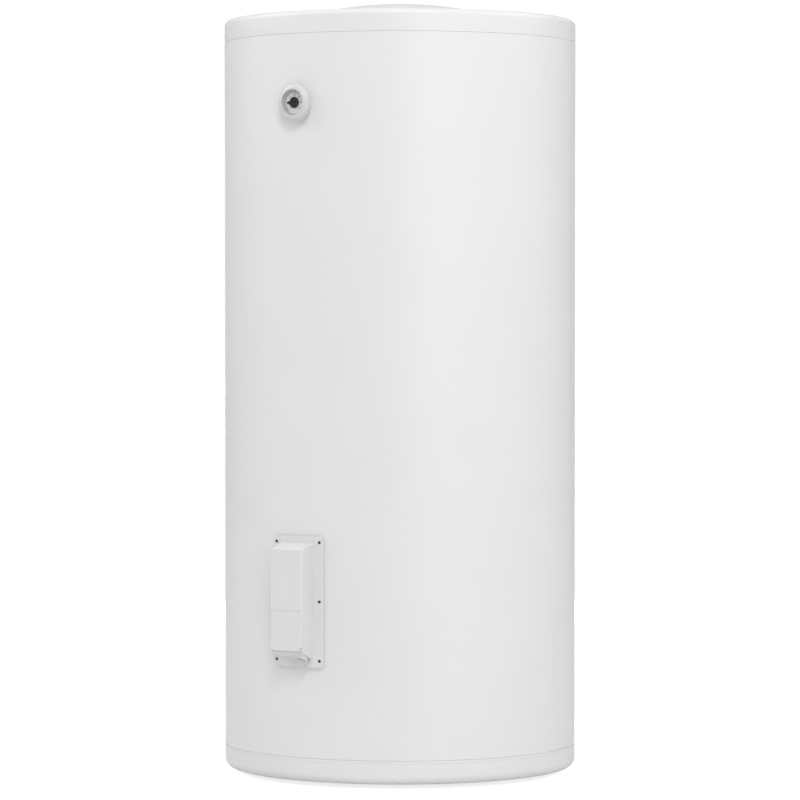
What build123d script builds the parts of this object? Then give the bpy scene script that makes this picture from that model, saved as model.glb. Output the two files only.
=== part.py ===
"""Floor-standing tank water heater, in millimetres.

Origin: centre of the base, on the floor. +Z is up. The service side (thermometer and
service cover) faces -Y, and the water connections face +Y.
"""

from build123d import *
import math
import os

# Casing
jacket_radius = 290.0
jacket_wall = 0.8
rim_bottom = 8.0  # lower edge of the bottom cover
bottom_seam = 46.0
top_seam = 1203.0
rim_top = 1239.0
seam_gap = 1.2
top_edge_radius = 9.0
bottom_edge_radius = 14.0
cover_wall = 3.0
dome_radius = 185.0
dome_height = 27.5
crown_radius = (dome_radius**2 + dome_height**2) / (2 * dome_height)
tongue_radius = 288.6  # collars of both covers that slip inside the jacket
tongue_height = 12.0

# Water vessel
vessel_radius = 240.0
vessel_wall = 2.5
head_depth = 90.0
vessel_low = 165.0  # where the lower head meets the shell
vessel_high = 1085.0
vessel_bottom = vessel_low - head_depth
vessel_top = vessel_high + head_depth
fit_gap = 0.4  # between the vessel and the foam around it

# Support ring and levelling feet
ring_radius = 192.0
ring_wall = 3.0
ring_top = 108.0
flange_inner_radius = 150.0
flange_height = 20.0
foot_circle = 168.0
foot_angles = [90, 210, 330]
stud_radius = 4.9
nut_bore = 4.95
nut_height = 8.0
pad_radius = 20.0
pad_low = 1.0
pad_high = 8.0
stud_low = 4.1
stud_high = 60.0

# Water connections on the back
thread_start = 297.5  # distance from the axis at which each nipple's thread begins
nipple_radius = 13.2
nipple_neck = 12.5
nipple_bore = 10.0
nipple_reach = 325.0
nipple_heights = {"cold": 190.0, "recirculation": 780.0, "hot": 1060.0}
rosette_radius = 27.0
rosette_reach = 295.0

# Thermometer
gauge_height = 1091.5
bezel_radius = 29.6
bezel_reach = 307.5
bezel_shoulder = 298.6  # where the bezel's rounded shoulder begins
bezel_back = 297.4  # where its undercut back begins
bezel_neck = 22.5  # radius where the undercut back meets the jacket
window_radius = 20.6
window_seat = 305.6
dial_radius = 18.0
dial_reach = 299.5
dial_thickness = 0.8
gauge_body_radius = 17.0
gauge_body_back = 262.0
pocket_height = 1040.0

# Service cover
plate_width = 96.0
plate_height = 210.0
plate_middle = 297.0
plate_inner_radius = 291.1
plate_outer_radius = 294.0
hood_reach = 325.0
hood_wall = 2.4
hood_base = 294.0  # distance from the axis at which the hood leaves the plate
hood_base_width = 62.5
hood_base_low = 206.0
hood_base_high = 390.0
hood_front_width = 60.4
hood_front_low = 219.0
hood_front_high = 382.5
screw_heights = [203.0, 297.5, 392.0]
screw_spread = 8.15  # degrees either side of the middle
cable_across = 17.0
cable_reach = 304.3
cable_hole = 7.5
grommet_radius = 9.4
grommet_middle = 204.0  # height of the middle of its mouth

# Access flap in the hood, hinged along its lower edge
flap_top = 283.4
flap_low = 225.6
flap_thickness = 2.6
hinge_reach = 322.6
hinge_height = 221.8
hinge_radius = 2.4
hinge_pin_radius = 1.2
hinge_hole_radius = 1.25
barrel_half = 27.4
ear_half = 27.7

# Immersion heater and thermostat
heater_height = 332.0
socket_radius = 31.0
socket_reach = 250.0
thread_radius = 24.0
hex_radius = 26.0  # half the spanner width
element_radius = 4.0
element_bend = 11.0
element_end = 60.0
knob_height = 250.0
knob_radius = 14.5
knob_back = 303.5
knob_front = 317.5
stem_radius = 2.9
bracket_reach = 266.5


def front_plane(reach, height, across=0.0):
    """A plane that faces the front, at a distance from the vessel's axis."""
    return Plane(origin=(across, -reach, height), x_dir=(1, 0, 0), z_dir=(0, -1, 0))


def back_plane(reach, height, across=0.0):
    """A plane that faces the back, at a distance from the vessel's axis."""
    return Plane(origin=(across, reach, height), x_dir=(-1, 0, 0), z_dir=(0, 1, 0))


def tube(plane, outer, inner, length):
    with BuildPart() as piece:
        with BuildSketch(plane):
            Circle(outer)
            Circle(inner, mode=Mode.SUBTRACT)
        extrude(amount=length)
    return piece


def rod(plane, radius, length):
    with BuildPart() as piece:
        with BuildSketch(plane):
            Circle(radius)
        extrude(amount=length)
    return piece


def block(plane, width, height, depth):
    with BuildPart() as piece:
        with BuildSketch(plane):
            Rectangle(width, height)
        extrude(amount=depth)
    return piece


def wire(points, radius, bend):
    """A round bar along straight runs joined by bends."""
    with BuildPart() as piece:
        with BuildLine() as route:
            FilletPolyline(*points, radius=bend)
        start = Plane(origin=route.line @ 0, z_dir=route.line % 0)
        with BuildSketch(start):
            Circle(radius)
        sweep()
    return piece


pieces = {}

# --- Casing ---------------------------------------------------------------------------

core = rod(Plane.XY, plate_inner_radius, rim_top)
jacket_outside = rod(Plane.XY, jacket_radius + 0.15, rim_top)

with BuildPart() as jacket:
    with BuildSketch(Plane.XY.offset(bottom_seam + seam_gap)):
        Circle(jacket_radius)
        Circle(jacket_radius - jacket_wall, mode=Mode.SUBTRACT)
    extrude(amount=top_seam - bottom_seam - 2 * seam_gap)
    with BuildSketch(front_plane(200, plate_middle)):
        Rectangle(78, 182)
    extrude(amount=120, mode=Mode.SUBTRACT)
    with BuildSketch(front_plane(200, gauge_height)):
        Circle(gauge_body_radius + 0.3)
    extrude(amount=120, mode=Mode.SUBTRACT)
    for height in nipple_heights.values():
        with BuildSketch(back_plane(200, height)):
            Circle(nipple_radius + 1.0)
        extrude(amount=120, mode=Mode.SUBTRACT)
    for side in (-1, 1):
        for height in screw_heights:
            along = math.radians(screw_spread) * side
            outward = (math.sin(along), -math.cos(along), 0)
            with BuildSketch(Plane(origin=(0, 0, height), z_dir=outward)):
                Circle(2.3)
            extrude(amount=320, mode=Mode.SUBTRACT)
pieces["jacket"] = jacket

# Top cover: an upright wall, a rounded edge, a flat rim and a shallow dome, with a
# collar that slips inside the jacket.
with BuildPart() as top_cover:
    with BuildSketch(Plane.XZ):
        with BuildLine():
            crown = RadiusArc((0, rim_top + dome_height), (dome_radius, rim_top), crown_radius)
            rim = Line(crown @ 1, (jacket_radius - top_edge_radius, rim_top))
            edge = RadiusArc(rim @ 1, (jacket_radius, rim_top - top_edge_radius), top_edge_radius)
            Polyline(
                edge @ 1,
                (jacket_radius, top_seam),
                (tongue_radius, top_seam),
                (tongue_radius, top_seam - tongue_height),
                (tongue_radius - 2, top_seam - tongue_height),
                (tongue_radius - 2, rim_top - cover_wall),
                (dome_radius, rim_top - cover_wall),
            )
            RadiusArc(
                (dome_radius, rim_top - cover_wall),
                (0, rim_top + dome_height - cover_wall),
                -crown_radius,
            )
            Line((0, rim_top + dome_height - cover_wall), (0, rim_top + dome_height))
        make_face()
    revolve(axis=Axis.Z)
pieces["top_cover"] = top_cover

# Bottom cover: an upright wall with a lip at the seam, a rounded lower edge, and a
# floor with an opening for the support ring.
with BuildPart() as bottom_cover:
    with BuildSketch(Plane.XZ):
        with BuildLine():
            lower = Line((ring_radius + 2, rim_bottom), (jacket_radius - bottom_edge_radius, rim_bottom))
            curve = RadiusArc(
                lower @ 1, (jacket_radius, rim_bottom + bottom_edge_radius), -bottom_edge_radius
            )
            Polyline(
                curve @ 1,
                (jacket_radius, bottom_seam - 4.4),
                (jacket_radius - 0.8, bottom_seam - 4.4),
                (jacket_radius - 0.8, bottom_seam - 3.8),
                (jacket_radius + 0.5, bottom_seam - 3.4),
                (jacket_radius + 0.5, bottom_seam),
                (tongue_radius, bottom_seam),
                (tongue_radius, bottom_seam + tongue_height),
                (tongue_radius - 2, bottom_seam + tongue_height),
                (tongue_radius - 2, rim_bottom + bottom_edge_radius),
            )
            RadiusArc(
                (tongue_radius - 2, rim_bottom + bottom_edge_radius),
                (jacket_radius - bottom_edge_radius, rim_bottom + cover_wall),
                bottom_edge_radius - cover_wall + 1,
            )
            Polyline(
                (jacket_radius - bottom_edge_radius, rim_bottom + cover_wall),
                (ring_radius + 2, rim_bottom + cover_wall),
                (ring_radius + 2, rim_bottom),
            )
        make_face()
    revolve(axis=Axis.Z)
pieces["bottom_cover"] = bottom_cover

# --- Water vessel ---------------------------------------------------------------------


def dished_head(rim_height, side):
    """A half-ellipsoid shell. side is +1 for the upper head and -1 for the lower one."""
    start = 0 if side > 0 else -90
    inner_radius = vessel_radius - vessel_wall
    inner_depth = head_depth - vessel_wall
    with BuildPart() as head:
        with BuildSketch(Plane.XZ):
            with BuildLine():
                outer = EllipticalCenterArc((0, rim_height), vessel_radius, head_depth, start, arc_size=90)
                inner = EllipticalCenterArc((0, rim_height), inner_radius, inner_depth, start, arc_size=90)
                Line(outer @ 0, inner @ 0)
                Line(outer @ 1, inner @ 1)
            make_face()
        revolve(axis=Axis.Z)
    return head


def vessel_outline(growth):
    """The vessel's outer shape, larger all round by growth."""
    radius = vessel_radius + growth
    depth = head_depth + growth
    with BuildPart() as solid:
        with BuildSketch(Plane.XZ):
            with BuildLine():
                low = EllipticalCenterArc((0, vessel_low), radius, depth, -90, arc_size=90)
                high = EllipticalCenterArc((0, vessel_high), radius, depth, 0, arc_size=90)
                Line(low @ 1, high @ 0)
                Line(high @ 1, low @ 0)
            make_face()
        revolve(axis=Axis.Z)
    return solid


with BuildPart() as tank_shell:
    with BuildSketch(Plane.XY.offset(vessel_low)):
        Circle(vessel_radius)
        Circle(vessel_radius - vessel_wall, mode=Mode.SUBTRACT)
    extrude(amount=vessel_high - vessel_low)
    for height in nipple_heights.values():
        with BuildSketch(back_plane(150, height)):
            Circle(nipple_neck + 0.1)
        extrude(amount=120, mode=Mode.SUBTRACT)
    with BuildSketch(front_plane(150, heater_height)):
        Circle(thread_radius)
    extrude(amount=120, mode=Mode.SUBTRACT)
    with BuildSketch(front_plane(150, pocket_height)):
        Circle(8)
    extrude(amount=120, mode=Mode.SUBTRACT)
pieces["tank_shell"] = tank_shell

with BuildPart() as tank_top_head:
    add(dished_head(vessel_high, 1).part)
    with BuildSketch(Plane.XY.offset(vessel_top - 20)):
        Circle(17)
    extrude(amount=40, mode=Mode.SUBTRACT)
pieces["tank_top_head"] = tank_top_head
pieces["tank_bottom_head"] = dished_head(vessel_low, -1)

for name, height in nipple_heights.items():
    with BuildPart() as nipple:
        with BuildSketch(back_plane(232, height)):
            Circle(nipple_neck)
        extrude(amount=thread_start - 232)
        with BuildSketch(back_plane(thread_start, height)):
            Circle(nipple_radius)
        extrude(amount=nipple_reach - thread_start)
        with BuildSketch(back_plane(232, height)):
            Circle(nipple_bore)
        extrude(amount=nipple_reach - 232, mode=Mode.SUBTRACT)
    pieces[f"{name}_nipple"] = nipple
    with BuildPart() as rosette:
        with BuildSketch(back_plane(jacket_radius - 6, height)):
            Circle(rosette_radius)
            Circle(nipple_neck + 0.4, mode=Mode.SUBTRACT)
        extrude(amount=rosette_reach - jacket_radius + 6)
        fillet(rosette.faces().sort_by(Axis.Y)[-1].edges().sort_by(SortBy.RADIUS)[-1], radius=2)
        add(jacket_outside.part, mode=Mode.SUBTRACT)
    pieces[f"{name}_rosette"] = rosette

# Inside the vessel: a perforated inlet tube and a hot-water pick-up that rises to the top.
with BuildPart() as cold_diffuser:
    with BuildSketch(back_plane(110, nipple_heights["cold"])):
        Circle(nipple_bore - 0.2)
        Circle(nipple_bore - 1.8, mode=Mode.SUBTRACT)
    extrude(amount=231 - 110)
    with BuildSketch(back_plane(108, nipple_heights["cold"])):
        Circle(nipple_bore - 0.2)
    extrude(amount=2)
    for reach in range(120, 220, 14):
        with BuildSketch(Plane.XY.offset(nipple_heights["cold"] - 20)):
            with Locations((0, reach)):
                Circle(3)
        extrude(amount=20, mode=Mode.SUBTRACT)
pieces["cold_diffuser"] = cold_diffuser

with BuildPart() as hot_pickup:
    with BuildLine() as pickup_route:
        FilletPolyline(
            (0, 231, nipple_heights["hot"]),
            (0, 180, nipple_heights["hot"]),
            (0, 180, vessel_high + 22),
            radius=22,
        )
    with BuildSketch(Plane(origin=pickup_route.line @ 0, z_dir=pickup_route.line % 0)):
        Circle(nipple_bore - 0.2)
        Circle(nipple_bore - 1.8, mode=Mode.SUBTRACT)
    sweep()
pieces["hot_pickup"] = hot_pickup

# Sacrificial anode, screwed into a socket at the top of the vessel.
socket_low = vessel_top - 4
socket_high = vessel_top + 18
pieces["anode_socket"] = tube(Plane.XY.offset(vessel_top + 0.1), 25, 17, socket_high - vessel_top - 0.1)
pieces["anode_seal"] = tube(Plane.XY.offset(socket_high), 22, 17, 2)
with BuildPart() as anode_plug:
    with BuildSketch(Plane.XY.offset(socket_low)):
        Circle(16.9)
    extrude(amount=socket_high + 2 - socket_low)
    with BuildSketch(Plane.XY.offset(socket_high + 2)):
        RegularPolygon(18, 6, major_radius=False)
    extrude(amount=12)
pieces["anode_plug"] = anode_plug
pieces["magnesium_anode"] = rod(Plane.XY.offset(socket_low - 480), 11, 480)

# --- Insulation -----------------------------------------------------------------------

vessel_space = vessel_outline(fit_gap)
foam_radius = jacket_radius - jacket_wall - 2.9
with BuildPart() as foam_insulation:
    with BuildSketch(Plane.XY.offset(bottom_seam + tongue_height + 1)):
        Circle(foam_radius)
    extrude(amount=top_seam - bottom_seam - 2 * tongue_height - 2)
    add(vessel_space.part, mode=Mode.SUBTRACT)
    with BuildSketch(Plane.XY):
        Circle(ring_radius + 1)
    extrude(amount=vessel_low - head_depth * 0.5, mode=Mode.SUBTRACT)
    with BuildSketch(Plane.XY.offset(vessel_top - 10)):
        Circle(28)
    extrude(amount=80, mode=Mode.SUBTRACT)
    for height in nipple_heights.values():
        with BuildSketch(back_plane(150, height)):
            Circle(nipple_radius + 0.6)
        extrude(amount=160, mode=Mode.SUBTRACT)
    with BuildSketch(front_plane(200, (gauge_height + pocket_height) / 2 + 2)):
        Rectangle(60, 100)
    extrude(amount=120, mode=Mode.SUBTRACT)
    with BuildSketch(front_plane(200, plate_middle)):
        Rectangle(92, 204)
    extrude(amount=120, mode=Mode.SUBTRACT)
pieces["foam_insulation"] = foam_insulation
pieces["top_insulation_disc"] = rod(Plane.XY.offset(vessel_top + 36), 278, 20)

pieces["bottom_insulation_pad"] = rod(Plane.XY.offset(64), ring_radius - ring_wall - 1, 8)

# --- Support ring and levelling feet -----------------------------------------------------

pieces["support_ring"] = tube(Plane.XY, ring_radius, ring_radius - ring_wall, ring_top)

with BuildPart() as foot_flange:
    with BuildSketch(Plane.XY.offset(flange_height)):
        Circle(ring_radius - ring_wall)
        Circle(flange_inner_radius, mode=Mode.SUBTRACT)
        with PolarLocations(foot_circle, 3, start_angle=foot_angles[0]):
            Circle(stud_radius + 1.1, mode=Mode.SUBTRACT)
    extrude(amount=ring_wall)
pieces["foot_flange"] = foot_flange

with BuildPart() as foot_nuts:
    with BuildSketch(Plane.XY.offset(flange_height + ring_wall)):
        with PolarLocations(foot_circle, 3, start_angle=foot_angles[0]):
            RegularPolygon(8.5, 6, major_radius=False)
            Circle(nut_bore, mode=Mode.SUBTRACT)
    extrude(amount=nut_height)
pieces["foot_nuts"] = foot_nuts

for number, angle in enumerate(foot_angles, 1):
    across = foot_circle * math.cos(math.radians(angle))
    along = foot_circle * math.sin(math.radians(angle))
    with BuildPart() as foot_pad:
        with BuildSketch(Plane(origin=(across, along, pad_low))):
            Circle(pad_radius)
        extrude(amount=pad_high - pad_low)
        fillet(foot_pad.edges().sort_by(Axis.Z)[-1], radius=2)
        with BuildSketch(Plane(origin=(across, along, pad_low + 3))):
            Circle(stud_radius + 0.08)
        extrude(amount=pad_high, mode=Mode.SUBTRACT)
    pieces[f"foot_pad_{number}"] = foot_pad
    with BuildPart() as foot_stud:
        with BuildSketch(Plane(origin=(across, along, stud_low))):
            Circle(stud_radius)
        extrude(amount=stud_high - stud_low)
        chamfer(foot_stud.edges().sort_by(Axis.Z)[-1], length=1)
        with BuildSketch(Plane(origin=(across, along, pad_high + 1))):
            RegularPolygon(7, 6, major_radius=False)
        extrude(amount=5)
    pieces[f"foot_stud_{number}"] = foot_stud

# --- Thermometer ------------------------------------------------------------------------

gauge_axis = Axis((0, 0, gauge_height), (0, 1, 0))

with BuildPart() as thermometer_bezel:
    with BuildSketch(Plane.YZ):
        with BuildLine():
            shoulder = ThreePointArc(
                (-bezel_shoulder, gauge_height + bezel_radius),
                (-bezel_reach + 2.4, gauge_height + bezel_radius - 2.6),
                (-bezel_reach, gauge_height + bezel_radius - 7),
            )
            Polyline(
                shoulder @ 1,
                (-bezel_reach, gauge_height + window_radius),
                (-window_seat, gauge_height + window_radius),
                (-window_seat, gauge_height + window_radius - 0.8),
                (-dial_reach - 0.1, gauge_height + dial_radius + 0.2),
                (-275, gauge_height + dial_radius + 0.2),
                (-275, gauge_height + bezel_neck),
                (-jacket_radius + 1, gauge_height + bezel_neck),
                (-bezel_back, gauge_height + bezel_radius),
                shoulder @ 0,
            )
        make_face()
    revolve(axis=gauge_axis)
    add(jacket_outside.part, mode=Mode.SUBTRACT)
pieces["thermometer_bezel"] = thermometer_bezel

dial_back = dial_reach - dial_thickness
with BuildPart() as thermometer_housing:
    with BuildSketch(front_plane(gauge_body_back, gauge_height)):
        Circle(gauge_body_radius)
    extrude(amount=dial_back - gauge_body_back)
    with BuildSketch(front_plane(dial_back - 2.5, gauge_height)):
        Circle(dial_radius)
    extrude(amount=2.5)
    with BuildSketch(front_plane(gauge_body_back + 2, gauge_height)):
        Circle(gauge_body_radius - 1.5)
    extrude(amount=60, mode=Mode.SUBTRACT)
    with BuildSketch(front_plane(gauge_body_back - 1, gauge_height - 9)):
        Circle(1.2)
    extrude(amount=4, mode=Mode.SUBTRACT)
pieces["thermometer_housing"] = thermometer_housing

pieces["thermometer_movement"] = tube(
    front_plane(dial_back - 9, gauge_height), gauge_body_radius - 1.6, 1.05, 4
)
pieces["thermometer_dial"] = tube(
    front_plane(dial_back, gauge_height), dial_radius, 1.3, dial_thickness
)
pieces["thermometer_lens"] = rod(front_plane(window_seat, gauge_height), window_radius - 0.2, 1.2)
pieces["thermometer_clip"] = tube(
    front_plane(283, gauge_height), gauge_body_radius + 6.5, gauge_body_radius + 0.1, 1.2
)

pointer_back = dial_reach + 0.9
with BuildPart() as thermometer_pointer:
    with BuildSketch(front_plane(pointer_back, gauge_height)):
        Circle(9.5)
        with BuildLine():
            Polyline((-9, 1.8), (-13.6, 0.5), (-13.6, -0.5), (-9, -1.8), close=True)
        make_face()
    extrude(amount=1.4)
    with BuildSketch(front_plane(pointer_back - 1, gauge_height)):
        Circle(1.02)
    extrude(amount=1.8, mode=Mode.SUBTRACT)
pieces["thermometer_pointer"] = thermometer_pointer
pieces["pointer_shaft"] = rod(front_plane(dial_back - 12, gauge_height), 1.0, pointer_back + 0.7 - dial_back + 12)

# The sensing bulb sits in a closed pocket in the vessel, joined to the housing by a
# thin capillary through the insulation.
with BuildPart() as sensor_pocket:
    with BuildSketch(front_plane(140, pocket_height)):
        Circle(7.9)
    extrude(amount=106)
    with BuildSketch(front_plane(143, pocket_height)):
        Circle(5)
    extrude(amount=120, mode=Mode.SUBTRACT)
pieces["sensor_pocket"] = sensor_pocket

with BuildPart() as thermometer_capillary:
    add(rod(front_plane(146, pocket_height), 4, 60).part)
    add(
        wire(
            [
                (0, -205, pocket_height),
                (0, -253, pocket_height),
                (0, -253, gauge_height - 9),
                (0, -263.5, gauge_height - 9),
            ],
            0.9,
            4,
        ).part
    )
pieces["thermometer_capillary"] = thermometer_capillary

# --- Immersion heater and thermostat -------------------------------------------------------

with BuildPart() as heater_socket:
    with BuildSketch(front_plane(230, heater_height)):
        Circle(socket_radius)
        Circle(thread_radius + 0.1, mode=Mode.SUBTRACT)
    extrude(amount=socket_reach - 230)
    with BuildSketch(Plane.XY.offset(heater_height - 60)):
        Circle(vessel_radius + 0.05)
    extrude(amount=120, mode=Mode.SUBTRACT)
pieces["heater_socket"] = heater_socket
pieces["heater_seal"] = tube(front_plane(socket_reach, heater_height), 28, thread_radius + 0.1, 2)

leg_places = [(across, side * element_bend) for across in (-14, 0, 14) for side in (-1, 1)]
with BuildPart() as heater_plug:
    with BuildSketch(front_plane(232, heater_height)):
        Circle(thread_radius)
    extrude(amount=socket_reach + 2 - 232)
    with BuildSketch(front_plane(socket_reach + 2, heater_height)):
        RegularPolygon(hex_radius, 6, major_radius=False)
    extrude(amount=11)
    with BuildSketch(front_plane(225, heater_height)):
        with Locations(*leg_places):
            Circle(element_radius + 0.05)
        with Locations((-7, 0)):
            Circle(3.1)
    extrude(amount=60, mode=Mode.SUBTRACT)
pieces["heater_plug"] = heater_plug

with BuildPart() as heating_elements:
    for across in (-14, 0, 14):
        low = heater_height - element_bend
        high = heater_height + element_bend
        add(
            wire(
                [(across, -270, low), (across, element_end, low), (across, element_end, high), (across, -270, high)],
                element_radius,
                element_bend - 0.5,
            ).part
        )
pieces["heating_elements"] = heating_elements

with BuildPart() as thermostat_pocket:
    with BuildSketch(front_plane(80, heater_height, -7)):
        Circle(3.0)
    extrude(amount=265 - 80)
    with BuildSketch(front_plane(82, heater_height, -7)):
        Circle(2.2)
    extrude(amount=200, mode=Mode.SUBTRACT)
pieces["thermostat_pocket"] = thermostat_pocket

pieces["component_bracket"] = block(front_plane(bracket_reach, 254), 54, 84, 1.5)
with BuildPart() as bracket_studs:
    for across in (-20, 20):
        for height in (220, 288):
            start = math.sqrt(vessel_radius**2 - (abs(across) - 3) ** 2) + 0.2
            add(rod(front_plane(start, height, across), 3, bracket_reach - start).part)
pieces["bracket_studs"] = bracket_studs

body_front = 300.0
with BuildPart() as thermostat_body:
    with BuildSketch(front_plane(bracket_reach + 1.5, knob_height)):
        RectangleRounded(42, 38, 3)
    extrude(amount=body_front - bracket_reach - 1.5)
    with BuildSketch(front_plane(280, knob_height)):
        Circle(stem_radius + 0.05)
    extrude(amount=40, mode=Mode.SUBTRACT)
pieces["thermostat_body"] = thermostat_body
pieces["thermostat_stem"] = rod(front_plane(281, knob_height), stem_radius, 312 - 281)

with BuildPart() as thermostat_knob:
    with BuildSketch(front_plane(knob_back, knob_height)):
        Circle(knob_radius)
    extrude(amount=5)
    with BuildSketch(front_plane(knob_back + 5, knob_height)):
        RectangleRounded(7, 2 * knob_radius - 3, 2)
    extrude(amount=knob_front - knob_back - 5)
    with BuildSketch(front_plane(knob_back - 1, knob_height)):
        Circle(stem_radius + 0.05)
    extrude(amount=9.6, mode=Mode.SUBTRACT)
pieces["thermostat_knob"] = thermostat_knob

pieces["thermostat_capillary"] = wire(
    [(-7, -150, heater_height), (-7, -286.5, heater_height), (-7, -286.5, knob_height + 19.2)], 1.0, 4
)

pieces["terminal_block"] = block(front_plane(bracket_reach + 1.5, 283), 40, 14, 14)
with BuildPart() as heater_wires:
    for across in (-14, 0, 14):
        add(
            wire(
                [(across, -277, 290), (across, -277, heater_height - 11), (across, -270.2, heater_height - 11)],
                1.3,
                3,
            ).part
        )
pieces["heater_wires"] = heater_wires

# --- Service cover -------------------------------------------------------------------------


def hood_section(reach, inset=0.0):
    """Width, lower edge and upper edge of the tapering hood at a distance from the axis."""
    share = (reach - hood_base) / (hood_reach - hood_base)
    width = hood_base_width + share * (hood_front_width - hood_base_width)
    low = hood_base_low + share * (hood_front_low - hood_base_low)
    high = hood_base_high + share * (hood_front_high - hood_base_high)
    return width - 2 * inset, low + inset, high - inset


def hood_solid(back, front, inset=0.0):
    with BuildPart() as hood:
        for reach in (back, front):
            width, low, high = hood_section(reach, inset)
            with BuildSketch(front_plane(reach, (low + high) / 2)):
                Rectangle(width, high - low)
        loft()
    return hood


screw_directions = []
for side in (-1, 1):
    turn = math.radians(screw_spread) * side
    screw_directions.append((math.sin(turn), -math.cos(turn), 0))

hood_inside = hood_solid(276, hood_reach - hood_wall - 0.2, hood_wall)
with BuildPart() as service_cover:
    add(hood_solid(282, hood_reach).part)
    fillet(service_cover.edges().filter_by(lambda e: e.center().Y < -hood_base), radius=2)
    with BuildSketch(front_plane(270, plate_middle)):
        RectangleRounded(plate_width, plate_height, 4)
    extrude(amount=plate_outer_radius + 0.2 - 270)
    with BuildSketch(Plane.XY):
        Circle(plate_outer_radius)
        with Locations((0, -plate_outer_radius)):
            Rectangle(hood_base_width, 2 * (hood_reach - plate_outer_radius) + 20)
    extrude(amount=rim_top, mode=Mode.INTERSECT)
    add(hood_inside.part, mode=Mode.SUBTRACT)
    add(core.part, mode=Mode.SUBTRACT)
    # The opening that the flap closes, and the slot for its hinge barrel
    with BuildSketch(Plane.YZ.offset(-40)):
        with Locations((-hood_reach, flap_top + 0.6)):
            Rectangle(8 + 2 * (hood_reach - 322.1 - 4), 80, align=(Align.CENTER, Align.MAX))
    extrude(amount=80, mode=Mode.SUBTRACT)
    with BuildSketch(Plane.YZ.offset(-barrel_half - 0.3)):
        with Locations((-hinge_reach, hinge_height)):
            Rectangle(5.6, 12)
    extrude(amount=2 * barrel_half + 0.6, mode=Mode.SUBTRACT)
    for side in (-1, 1):
        with BuildSketch(Plane.YZ.offset(side * ear_half)):
            with Locations((-hinge_reach, hinge_height)):
                Circle(hinge_radius)
        extrude(amount=side * 2.4)
    with BuildSketch(Plane.YZ.offset(-40)):
        with Locations((-hinge_reach, hinge_height)):
            Circle(hinge_hole_radius)
    extrude(amount=80, mode=Mode.SUBTRACT)
    # Cable entry in the sloping underside
    with BuildSketch(Plane.XY.offset(hood_base_low - 10)):
        with Locations((cable_across, -cable_reach)):
            Circle(grommet_radius + 0.1)
    extrude(amount=30, mode=Mode.SUBTRACT)
    for outward in screw_directions:
        for height in screw_heights:
            with BuildSketch(Plane(origin=(0, 0, height), z_dir=outward)):
                Circle(2.3)
            extrude(amount=320, mode=Mode.SUBTRACT)
pieces["service_cover"] = service_cover

with BuildPart() as cover_gasket:
    with BuildSketch(front_plane(270, plate_middle)):
        RectangleRounded(plate_width - 4, plate_height - 4, 3)
        Rectangle(80, 184, mode=Mode.SUBTRACT)
    extrude(amount=40)
    with BuildSketch(Plane.XY):
        Circle(plate_inner_radius - 0.05)
        Circle(jacket_radius + 0.05, mode=Mode.SUBTRACT)
    extrude(amount=rim_top, mode=Mode.INTERSECT)
    for outward in screw_directions:
        for height in screw_heights:
            with BuildSketch(Plane(origin=(0, 0, height), z_dir=outward)):
                Circle(2.3)
            extrude(amount=320, mode=Mode.SUBTRACT)
pieces["cover_gasket"] = cover_gasket

with BuildPart() as cover_screws:
    for outward in screw_directions:
        for height in screw_heights:
            middle = Vector(0, 0, height)
            with BuildSketch(Plane(origin=middle + Vector(*outward) * 282, z_dir=outward)):
                Circle(1.9)
            extrude(amount=plate_outer_radius + 0.1 - 282)
            with BuildSketch(Plane(origin=middle + Vector(*outward) * (plate_outer_radius + 0.1), z_dir=outward)):
                Circle(2.7)
            extrude(amount=1.7, taper=20)
pieces["cover_screws"] = cover_screws

# A collar for the cable, cut off obliquely so that its mouth opens to the front.
grommet_mouth = Plane(
    origin=(cable_across, -cable_reach, grommet_middle), x_dir=(1, 0, 0), z_dir=(0, -0.5, -0.866)
)
with BuildPart() as cable_grommet:
    with BuildSketch(Plane.XY.offset(grommet_middle - 12)):
        with Locations((cable_across, -cable_reach)):
            Circle(grommet_radius)
            Circle(cable_hole, mode=Mode.SUBTRACT)
    extrude(amount=28)
    split(bisect_by=grommet_mouth, keep=Keep.BOTTOM)
pieces["cable_grommet"] = cable_grommet

# --- Access flap ---------------------------------------------------------------------------

with BuildPart() as access_flap:
    with BuildSketch(front_plane(hood_reach - flap_thickness, (flap_low + flap_top) / 2)):
        Rectangle(hood_front_width, flap_top - flap_low)
    extrude(amount=flap_thickness)
    outer_sides = access_flap.edges().filter_by(Axis.Z).group_by(Axis.Y)[0]
    fillet(outer_sides, radius=2)
    with BuildSketch(Plane.YZ.offset(-barrel_half)):
        with Locations((-hinge_reach, hinge_height)):
            Circle(hinge_radius)
        with Locations((-hood_reach + flap_thickness / 2, (hinge_height + flap_low) / 2)):
            Rectangle(flap_thickness, flap_low - hinge_height + 0.4)
    extrude(amount=2 * barrel_half)
    with BuildSketch(Plane.YZ.offset(-barrel_half - 2)):
        with Locations((-hinge_reach, hinge_height)):
            Circle(hinge_pin_radius)
    extrude(amount=2 * barrel_half + 4)
pieces["access_flap"] = access_flap

os.makedirs("parts", exist_ok=True)
for name, piece in pieces.items():
    piece.part.label = name
    export_step(piece.part, f"parts/{name}.step")
    print(f"{name}: {len(piece.part.solids())} solids, {piece.part.volume / 1000:.1f} cm3")
print(len(pieces), "pieces")
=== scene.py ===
"""Studio scene of an upright tank water heater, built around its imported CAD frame.

Shapes are given in millimetres, and MM turns them into metres. The stage, the lights and the
camera are placed in metres. The service side faces -Y and the water connections face +Y.
"""

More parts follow.
